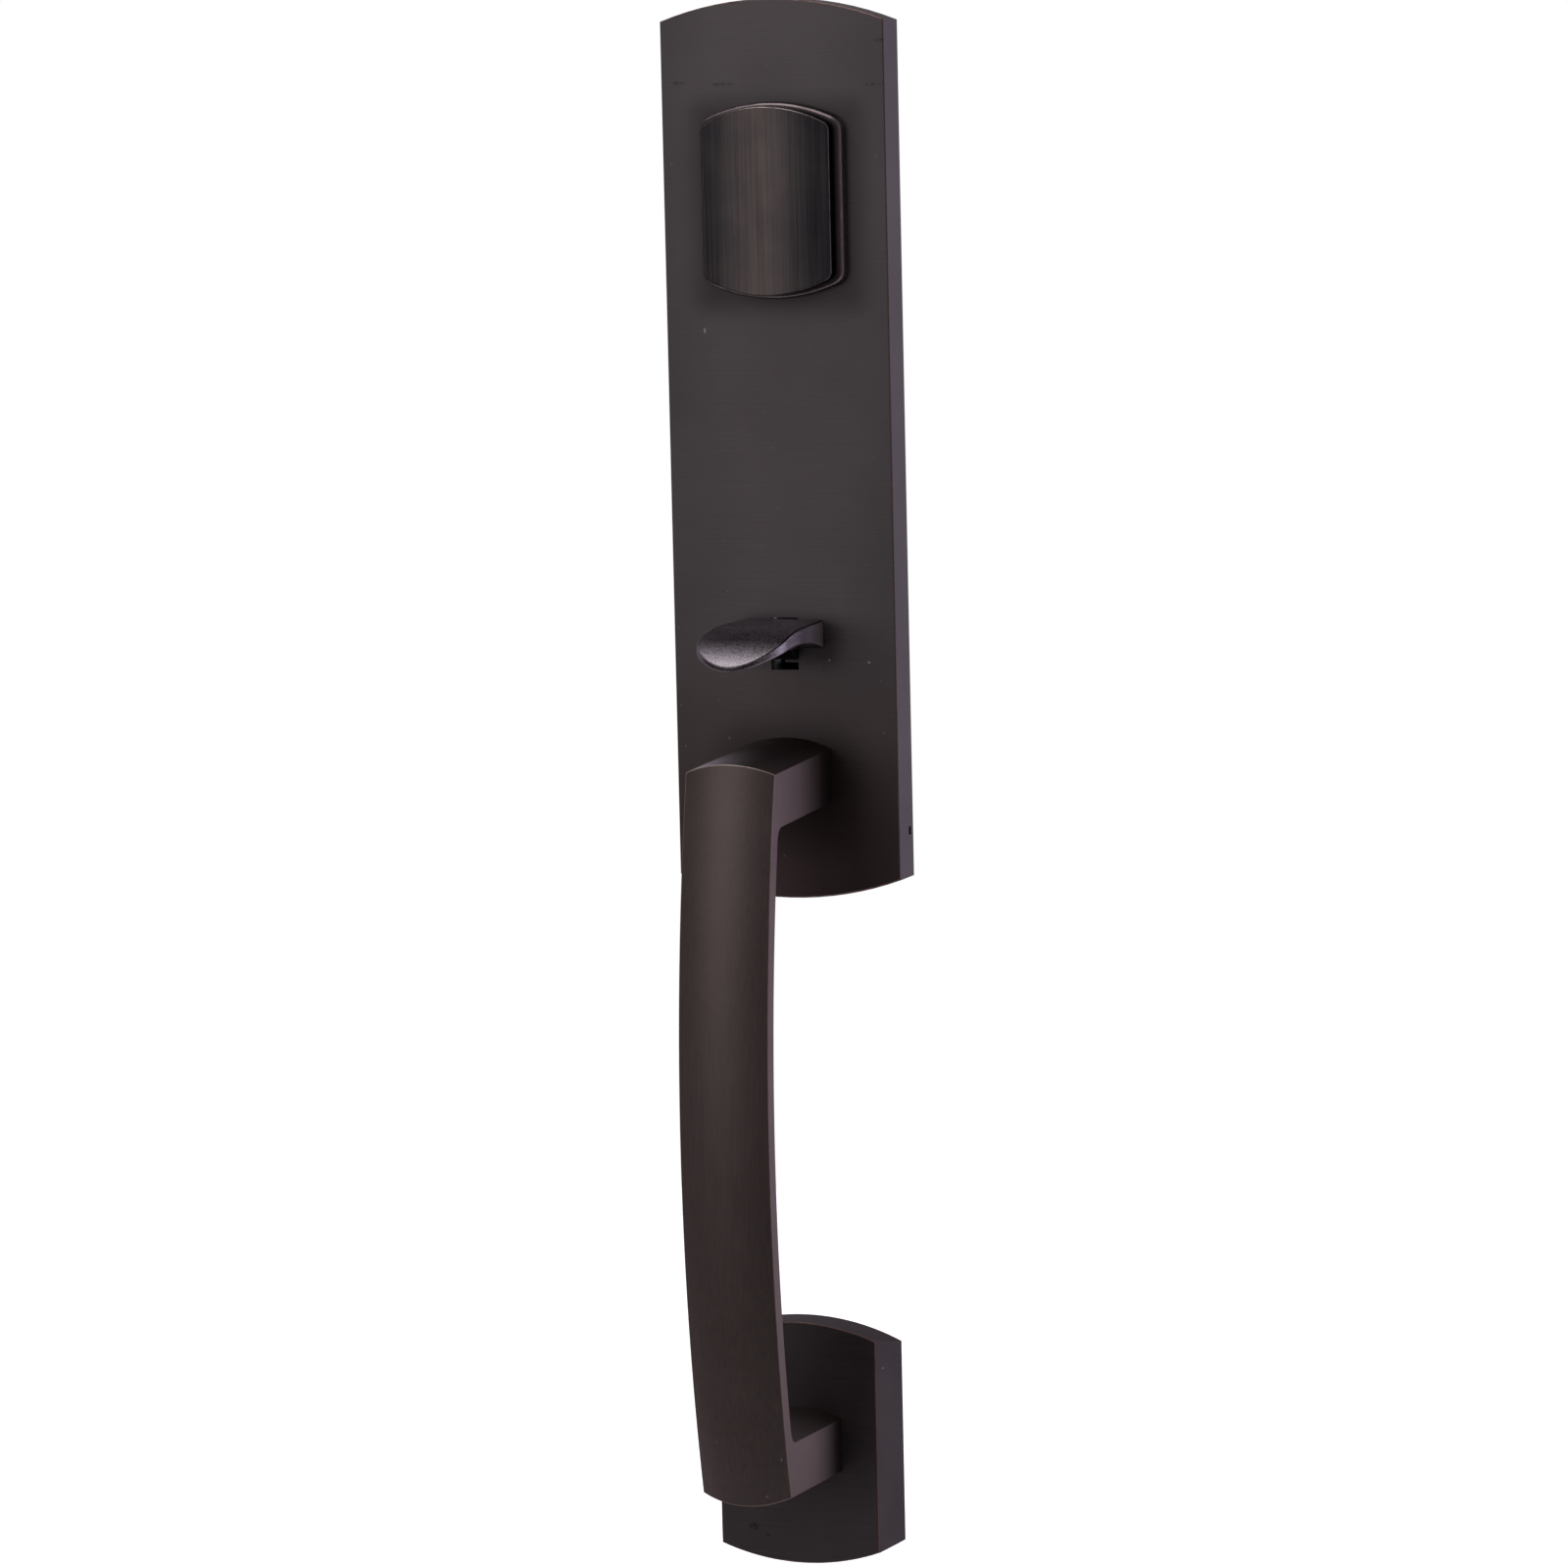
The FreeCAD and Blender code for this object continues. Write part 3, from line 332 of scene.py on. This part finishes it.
# Marks on the plate's front and on the rosette's: middle and half sizes
PLATE_SCUFFS = [((-31.8, -8.0, 36.8), (3.4, 1.0, 0.7)),
                ((-16.6, -8.0, 36.3), (5.0, 1.0, 0.8)),
                ((36.2, -8.0, 49.3), (2.2, 1.0, 0.9)),
                ((33.0, -8.0, 35.7), (3.6, 1.0, 0.7))]
PLATE_DUST = [((-19.4, -8.0, -170.1), (0.5, 1.0, 0.5)),
              ((15.0, -8.0, -144.7), (0.5, 1.0, 0.5)),
              ((28.3, -8.0, -145.1), (0.5, 1.0, 0.5)),
              ((-24.5, -8.0, -40.7), (0.5, 1.0, 1.2))]
ROSETTE_SMUDGE = [((-15.6, -12.0, -424.9), (2.6, 1.0, 1.6)),
                  ((-11.0, -12.0, -427.5), (1.4, 1.0, 0.6))]


def cross_brushing(tree):
    return streaks(tree, "X", 30.0, 0.4)


# Middle and half sizes of what stands on the plate: the collar, the thumb piece's root and the grip's top leg
COLLAR_CORNER = ((1.2, -1.6), (23.0, 27.5))
THUMB_CORNER = ((2.0, -139.0), (12.0, 3.0))
LEG_CORNER = ((0.0, -186.0), (13.0, 10.0))
# Painted shade, browner, on the front of the plate's low end: heights between which it sets in
LOW_END = (-135.0, -205.0)
LOW_END_FRONT = (0.9, 0.98)
LOW_END_SHADE = (0.68, 0.56, 0.54)


def plate_finish():
    """Plate: brushed across, very fine, with a few scuffs, copper-coloured front edges and painted shade."""
    def touches(tree, colour, grain):
        colour = lighter_middle_band(tree, colour, grain, half_mm=26.0, soft_mm=18.0, flank=even(0.84))
        # Painted shade round the foot of the collar, the thumb piece's root and the grip's top leg
        colour = painted_corner_shade(tree, colour, *COLLAR_CORNER, reach_mm=11.0, share=0.6)
        colour = painted_corner_shade(tree, colour, *THUMB_CORNER, reach_mm=8.0, share=0.7)
        colour = painted_corner_shade(tree, colour, *LEG_CORNER, reach_mm=18.0, share=0.7)
        # Painted shade, browner, on the front of the low end
        low_front = multiply(tree, along(tree, "Z", LOW_END), turned_either_way(tree, "Y", LOW_END_FRONT))
        colour = painted_shade(tree, colour, low_front, LOW_END_SHADE)
        # Painted shade on the side walls
        colour = painted_wall_shade(tree, colour, share=0.78)
        colour = worn_edge_and_highlight(tree, colour, "#6f4c43", share=0.55)
        colour = marks_at(tree, colour, PLATE_SCUFFS, "#2b2728", strength=0.6)
        colour = marks_at(tree, colour, PLATE_DUST, "#a59c99", strength=0.7)
        colour = specks(tree, colour, spacing_mm=17.0, speck_mm=0.45, tint="#6f686a")
        return cast_back(tree, colour)
    return oil_rubbed_bronze("Oil_Rubbed_Bronze_Cross_Brushed", "#4e494b", "#595455", cross_brushing,
                             patches_mm=28.0, rough=(0.48, 0.56), touches=touches)


def rosette_finish():
    """Rosette: the plate's brushing, from a darker bath, with the worn copper line brighter at its edge."""
    def touches(tree, colour, grain):
        # Painted shade on the side walls
        colour = painted_wall_shade(tree, colour, share=0.7)
        colour = worn_edge_and_highlight(tree, colour, "#7a5247", share=0.6)
        colour = marks_at(tree, colour, ROSETTE_SMUDGE, "#161413", strength=0.6)
        colour = specks(tree, colour, spacing_mm=15.0, speck_mm=0.45, tint="#5d5658")
        return cast_back(tree, colour)
    return oil_rubbed_bronze("Oil_Rubbed_Bronze_Rosette", "#3d383a", "#474243", cross_brushing,
                             patches_mm=20.0, rough=(0.48, 0.56), touches=touches)


# The front, given painted shade by the cover, and the sides, given a painted highlight
COLLAR_FRONT = (0.93, 0.99)
COLLAR_FRONT_SHADE = 0.4
COLLAR_SIDE = (0.5, 0.9)


def collar_finish():
    """Collar round the cylinder: painted shade by the cover, painted highlight on its sides, paler rounded
    rim.
    """
    def grain_of(tree):
        return streaks(tree, "Z", 14.0, 0.4)

    def touches(tree, colour, grain):
        # Painted shade on the front beside the cover
        front = turned_either_way(tree, "Y", COLLAR_FRONT)
        colour = painted_shade(tree, colour, front, even(COLLAR_FRONT_SHADE))
        # Painted highlight on the side walls
        colour = blend(tree, turned_either_way(tree, "X", COLLAR_SIDE), colour, linear("#9a9298"))
        return worn_edge_and_highlight(tree, colour, "#655b5d", share=0.9)
    return oil_rubbed_bronze("Oil_Rubbed_Bronze_Collar", "#3e383a", "#4a4345", grain_of,
                             patches_mm=12.0, rough=(0.36, 0.44), touches=touches)


# Share of the fine marks in the cover's brushing; the broad ones make the rest
FINE_SHARE = 0.7
# The cover's edge: worn, with a painted highlight, none at its shaded low end; heights where both fade in
COVER_EDGE_HIGHLIGHT_TOP = (-25.0, -22.0)


def cover_finish():
    """Keyway cover: brushed along its height, the strongest marks on the object, dark at both flanks."""
    def grain_of(tree):
        fine = streaks(tree, "Z", 60.0, 0.4, noise_range=(0.39, 0.61))
        broad = streaks(tree, "Z", 140.0, 1.3, noise_range=(0.34, 0.66))
        return plus(tree, multiply(tree, fine, FINE_SHARE), multiply(tree, broad, 1 - FINE_SHARE))

    def touches(tree, colour, grain):
        colour = lighter_middle_band(tree, colour, grain, half_mm=11.5, soft_mm=9.0,
                             flank=(0.74, 0.88, 1.0), middle_mm=-2.0, ragged_mm=11.0)
        # Worn edge with a painted highlight along its lit top
        return worn_edge_and_highlight(tree, colour, "#857a77", share=0.9, top_mm=COVER_EDGE_HIGHLIGHT_TOP)
    return oil_rubbed_bronze("Oil_Rubbed_Bronze_Long_Brushed", "#342f30", "#4f4745", grain_of,
                             patches_mm=18.0, rough=(0.28, 0.36), touches=touches)


# Marks on the grip: middle and half sizes
GRIP_SMUDGE = [((10.5, -68.0, -334.5), (1.7, 3.0, 2.3))]
GRIP_DUST = [((13.1, -62.0, -390.1), (0.4, 3.0, 0.8)),
             ((-7.5, -62.0, -385.1), (0.5, 3.0, 0.5)),
             ((7.5, -60.0, -402.6), (0.5, 3.0, 0.5)),
             ((14.1, -14.0, -182.6), (1.5, 0.4, 0.5))]
# Painted shade on the grip's low end
GRIP_END = (-385.0, -425.0)
GRIP_END_SHADE = 0.78
# Painted sheen on the left front of its top leg's upper face
LEG_SHEEN_SIDE = (6.0, -8.0)
LEG_SHEEN_DEPTH = (-28.0, -52.0)
LEG_SHEEN_UP = (0.7, 0.9)
# The heights between which a painted highlight on its front edge fades in
GRIP_EDGE_HIGHLIGHT_TOP = (-225.0, -195.0)


def grip_finish():
    """Grip: satin, waxed, with a painted highlight on its crowned front's upper edge and a dull hand smudge.
    """
    def grain_of(tree):
        return streaks(tree, "Z", 20.0, 0.5)

    def touches(tree, colour, grain):
        colour = lighter_middle_band(tree, colour, grain, half_mm=7.0, soft_mm=6.0, flank=even(0.9), middle_mm=3.0)
        # Painted shade on the low end
        colour = painted_shade(tree, colour, along(tree, "Z", GRIP_END), even(GRIP_END_SHADE))
        # Painted sheen on the top leg's upper face
        leg_top_sheen = multiply(tree, along(tree, "X", LEG_SHEEN_SIDE), along(tree, "Y", LEG_SHEEN_DEPTH))
        leg_top_sheen = multiply(tree, leg_top_sheen, turned(tree, "Z", LEG_SHEEN_UP))
        colour = blend(tree, leg_top_sheen, colour, linear("#9c949b"))
        # Painted highlight on the front edge's upper part, with some wear
        colour = worn_edge_and_highlight(tree, colour, "#a3948f", share=1.0, top_mm=GRIP_EDGE_HIGHLIGHT_TOP)
        colour = worn_edge_and_highlight(tree, colour, "#6d5c57", share=0.5)
        colour = marks_at(tree, colour, GRIP_SMUDGE, "#6a5a48", strength=0.5)
        return marks_at(tree, colour, GRIP_DUST, "#9a8f80", strength=0.7)
    return oil_rubbed_bronze("Oil_Rubbed_Bronze_Grip", "#4f4645", "#584f4e", grain_of,
                             patches_mm=22.0, rough=(0.44, 0.5), touches=touches)


# The thumb piece's upper face; its pad, worn with a painted highlight; the hollow behind, in painted shade
UPPER_FACE = (0.1, 0.5)
THUMB_PAD = (-46.0, -59.5)
PAD_FAINTEST = 0.5
HOLLOW = (-32.0, -46.0)
HOLLOW_SHADE = 0.5
# Painted highlight on the right side at its root
ROOT_DEPTH = (-27.0, -14.0)
ROOT_SIDE = (0.7, 0.9)
# Painted shade: the black line under the pad's right rim
RIM_SIDE = (0.35, 0.5)
RIM_TOP = (0.25, 0.5)
RIM_SHADE = 0.15
# The shaded front of its nose
NOSE_FRONT = (-0.75, -0.92)
NOSE_TOP = (0.3, 0.15)
NOSE_SHADE = 0.35
# Painted shade on the underside of its neck
NECK_DEPTH = (-24.0, -20.0)
NECK_TOP = (-140.6, -141.2)
NECK_SHADE = 0.2


def cast_finish():
    """Thumb piece: the casting's grain shows as a fine sparkle, the pad worn silvery and given a painted
    highlight.

    The grain is drawn at 0.7 mm, coarser than the casting's own, so that it shows.
    """
    def grain_of(tree):
        return clouds(tree, 0.7, noise_range=(0.34, 0.66), detail=2.0)

    def touches(tree, colour, grain):
        upper_face = turned(tree, "Z", UPPER_FACE)
        # Painted shade in the hollow behind the pad
        hollow = multiply(tree, along(tree, "Y", HOLLOW), upper_face)
        colour = painted_shade(tree, colour, hollow, even(HOLLOW_SHADE))
        # Worn pad, also a painted highlight toward the tip
        pad = multiply(tree, along(tree, "Y", THUMB_PAD), upper_face)
        sparkle = plus(tree, multiply(tree, grain, 1 - PAD_FAINTEST), PAD_FAINTEST)
        colour = blend(tree, multiply(tree, pad, sparkle), colour, linear("#8d868b"))
        # Painted highlight on the root's right side
        root_highlight = multiply(tree, turned(tree, "X", ROOT_SIDE), along(tree, "Y", ROOT_DEPTH))
        colour = blend(tree, root_highlight, colour, linear("#c8bec6"))
        # Painted shade under the pad's right rim
        rim = multiply(tree, turned(tree, "X", RIM_SIDE), turned(tree, "Z", RIM_TOP))
        colour = painted_shade(tree, colour, rim, even(RIM_SHADE))
        # Painted shade on the nose's front
        nose = multiply(tree, turned(tree, "Y", NOSE_FRONT), turned(tree, "Z", NOSE_TOP))
        colour = painted_shade(tree, colour, nose, even(NOSE_SHADE))
        # Painted shade on the neck's underside
        neck = multiply(tree, along(tree, "Y", NECK_DEPTH), along(tree, "Z", NECK_TOP))
        return painted_shade(tree, colour, neck, even(NECK_SHADE))
    return oil_rubbed_bronze("Oil_Rubbed_Bronze_Cast", "#504a4f", "#736c72", grain_of,
                             patches_mm=9.0, rough=(0.4, 0.5), touches=touches, bump=0.35)


TOOL_MARK_MM = 0.9
TOOL_MARK_DEPTH_MM = 0.05


def turned_brass():
    """Cylinder parts: bare turned brass, rings of tool marks round the axis."""
    made, tree, shader = metal("Turned_Brass")
    coords = add(tree, "ShaderNodeTexCoord")
    tool_marks = add(tree, "ShaderNodeTexWave", {"Vector": coords.outputs["Object"],
                                                 "Scale": 1 / (TOOL_MARK_MM * MM), "Distortion": 0.6},
                     wave_type="RINGS", rings_direction="Y").outputs["Fac"]
    tone = multiply(tree, tool_marks, clouds(tree, 6.0))
    tree.links.new(blend(tree, tone, linear("#b58e4c"), linear("#d9b46c")), shader.inputs["Base Color"])
    engrave(tree, shader, tool_marks, 0.15, TOOL_MARK_DEPTH_MM)
    shader.inputs["Roughness"].default_value = 0.3
    return made


def cloudy_metal(name, dark, light, patches_mm, rough):
    """Metal with a plated or blackened skin in soft patches, the paler ones duller."""
    made, tree, shader = metal(name)
    tone = clouds(tree, patches_mm)
    tree.links.new(blend(tree, tone, linear(dark), linear(light)), shader.inputs["Base Color"])
    roughen(tree, shader, tone, rough)
    return made


def zinc_plated_steel():
    """Screws, posts, clip and tailpiece: bright zinc with a faint blue cast."""
    return cloudy_metal("Zinc_Plated_Steel", "#a9adb3", "#c9ccd0", patches_mm=3.0, rough=(0.28, 0.42))


def blackened_steel():
    """Thumb bracket and its pin: black oxide under oil, so that nothing bright shows through the slot."""
    return cloudy_metal("Black_Oxide_Steel", "#0b0b0c", "#161617", patches_mm=2.5, rough=(0.4, 0.55))


def spring_steel():
    """Drawn wire and strip: darker than zinc, smooth, with small uneven patches."""
    made, tree, shader = metal("Spring_Steel")
    tone = clouds(tree, 1.2)
    tree.links.new(blend(tree, tone, linear("#7d7f83"), linear("#9b9da1")), shader.inputs["Base Color"])
    shader.inputs["Roughness"].default_value = 0.32
    return made


def dress_everything():
    finishes = {
        plate_finish(): ("upper_plate",),
        rosette_finish(): ("bottom_rosette",),
        collar_finish(): ("cylinder_collar",),
        cover_finish(): ("keyway_cover",),
        cast_finish(): ("thumb_piece",),
        grip_finish(): ("grip_handle",),
        turned_brass(): ("cylinder_body", "cylinder_plug", "key_pins", "driver_pins", "pin_chamber_cap",
                         "cylinder_ring_nut"),
        zinc_plated_steel(): ("cover_pivot_screw", "plug_retaining_clip", "cylinder_tailpiece",
                              "tailpiece_pin", "plate_posts", "grip_top_screw", "grip_top_washer",
                              "rosette_post"),
        blackened_steel(): ("thumb_bracket", "bracket_screws", "thumb_pivot_pin", "thumb_pin_clips"),
        spring_steel(): ("cover_spring_washer", "pin_springs", "thumb_return_spring"),
    }
    for finish, nodes in finishes.items():
        for node in nodes:
            dress(node, finish)


# The return spring's copy: distance within which its points are welded, and angle from which edges stay sharp
WELD_REACH = 0.001 * MM
SHARP_EDGE = math.radians(40)


def twist_return_spring():
    """Puts a welded, smooth-shaded copy of the return spring, with its finish, in place of the hidden part.
    """
    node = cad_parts["thumb_return_spring"]
    mesh = node.data.copy()
    form = bmesh.new()
    form.from_mesh(mesh)
    bmesh.ops.remove_doubles(form, verts=form.verts, dist=WELD_REACH)
    form.to_mesh(mesh)
    form.free()
    mesh.shade_smooth()
    mesh.set_sharp_from_angle(angle=SHARP_EDGE)
    mesh.materials.clear()
    mesh.materials.append(node.material_slots[0].material)
    spring = bpy.data.objects.new("Thumb_Return_Spring", mesh)
    bpy.context.scene.collection.objects.link(spring)
    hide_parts("thumb_return_spring")
    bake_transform(spring)


# Camera: aimed at a point of the door's face, from the right and a little above
CAMERA_AIM = Vector((-4.3, 0.0, -185.5)) * MM
CAMERA_DISTANCE = 2109.8 * MM
CAMERA_TURN = math.radians(20.77)
CAMERA_DOWN = math.radians(7.385)
CAMERA_ROLL = math.radians(-1.30)
CAMERA_LENS = 152.3
CAMERA_SENSOR = 36.0


def place_camera():
    camera = bpy.data.objects.new("Camera", bpy.data.cameras.new("Camera"))
    bpy.context.scene.collection.objects.link(camera)
    ahead = Vector((-math.sin(CAMERA_TURN) * math.cos(CAMERA_DOWN),
                    math.cos(CAMERA_TURN) * math.cos(CAMERA_DOWN), -math.sin(CAMERA_DOWN)))
    level_right = Vector((math.cos(CAMERA_TURN), math.sin(CAMERA_TURN), 0.0))
    level_up = level_right.cross(ahead)
    right = level_right * math.cos(CAMERA_ROLL) + level_up * math.sin(CAMERA_ROLL)
    up = right.cross(ahead)
    turn = Matrix((right, up, -ahead)).transposed()
    camera.matrix_world = Matrix.Translation(CAMERA_AIM - ahead * CAMERA_DISTANCE) @ turn.to_4x4()
    camera.data.sensor_width = CAMERA_SENSOR
    camera.data.lens = CAMERA_LENS
    bpy.context.scene.camera = camera


FLOOR_HEIGHT = -0.75
FLOOR_SIZE = 2.4
FLOOR_SETBACK = 0.9
FLOOR_ROUGHNESS = 0.9


def lay_floor():
    """Pale floor that reads as white paper where the camera or a reflection sees it, and keeps a shadow."""
    mesh = bpy.data.meshes.new("Floor")
    form = bmesh.new()
    bmesh.ops.create_grid(form, x_segments=1, y_segments=1, size=FLOOR_SIZE / 2)
    bmesh.ops.translate(form, verts=form.verts, vec=(0.0, FLOOR_SETBACK, FLOOR_HEIGHT))
    form.to_mesh(mesh)
    form.free()
    floor = bpy.data.objects.new("Floor", mesh)
    bpy.context.scene.collection.objects.link(floor)
    paper, tree, shader = material("White_Paper")
    shader.inputs["Base Color"].default_value = linear("#f4f4f4")
    shader.inputs["Roughness"].default_value = FLOOR_ROUGHNESS
    seen = add(tree, "ShaderNodeLightPath").outputs
    glow = larger(tree, seen["Is Camera Ray"], seen["Is Glossy Ray"])
    tree.links.new(glow, shader.inputs["Emission Strength"])
    shader.inputs["Emission Color"].default_value = linear("#d0d0d0")
    mesh.materials.append(paper)


def softbox(name, stand, aim, width, height, radiance, tint="#ffffff"):
    """A one-sided panel of even light; radiance 1 is as bright as white paper in the picture."""
    lamp = bpy.data.lights.new(name, "AREA")
    lamp.shape = "RECTANGLE"
    lamp.size = width
    lamp.size_y = height
    lamp.energy = radiance * math.pi * width * height
    lamp.color = linear(tint)[:3]
    box = bpy.data.objects.new(name, lamp)
    bpy.context.scene.collection.objects.link(box)
    box.location = stand
    box.rotation_mode = "QUATERNION"
    box.rotation_quaternion = (Vector(aim) - Vector(stand)).to_track_quat("-Z", "Y")
    box.visible_camera = False


# The room round the object, as its metal sees it
ROOM_BEHIND = "#f6effa"
ROOM_LEFT = "#aaa3a4"
ROOM_RIGHT = "#979192"
ROOM_BELOW = "#6f6a68"
# Directions, from -1 to 1, between which one side of the room turns into the next
LEFT_TO_RIGHT = (-0.5, 0.25)
LEVEL_TO_BELOW = (-0.1, -0.5)
FRONT_TO_BEHIND = (-0.05, 0.35)


def light_room():
    """White paper to the camera; to the metal a bright room behind and a dimmer one in front.

    The softboxes stand at the front left, overhead, and behind at the right.
    """
    world = bpy.data.worlds.new("Studio")
    world.use_nodes = True
    tree = world.node_tree
    tree.nodes.clear()
    coords = add(tree, "ShaderNodeTexCoord")
    way = add(tree, "ShaderNodeSeparateXYZ", {"Vector": coords.outputs["Generated"]}).outputs
    front = blend(tree, ramp(tree, way["X"], *LEFT_TO_RIGHT), linear(ROOM_LEFT), linear(ROOM_RIGHT))
    front = blend(tree, ramp(tree, way["Z"], *LEVEL_TO_BELOW), front, linear(ROOM_BELOW))
    room = blend(tree, ramp(tree, way["Y"], *FRONT_TO_BEHIND), front, linear(ROOM_BEHIND))
    seen = add(tree, "ShaderNodeLightPath")
    shown = blend(tree, seen.outputs["Is Camera Ray"], room, linear("#ffffff"))
    background = add(tree, "ShaderNodeBackground", {"Color": shown, "Strength": 1.0})
    add(tree, "ShaderNodeOutputWorld", {"Surface": background.outputs["Background"]})
    bpy.context.scene.world = world
    softbox("Key_Softbox", stand=(-0.6, -1.45, 0.25), aim=(0.0, 0.0, -0.1),
            width=0.85, height=1.15, radiance=1.35)
    softbox("Top_Softbox", stand=(-0.25, -0.35, 1.1), aim=(0.0, 0.0, -0.15),
            width=0.9, height=0.7, radiance=5.0)
    softbox("Side_Softbox", stand=(1.15, 1.05, -0.4), aim=(0.0, 0.0, -0.2),
            width=1.2, height=1.9, radiance=2.5, tint="#ece4ff")


dress_everything()
twist_return_spring()
place_camera()
lay_floor()
light_room()
bpy.context.scene.view_settings.view_transform = "Standard"
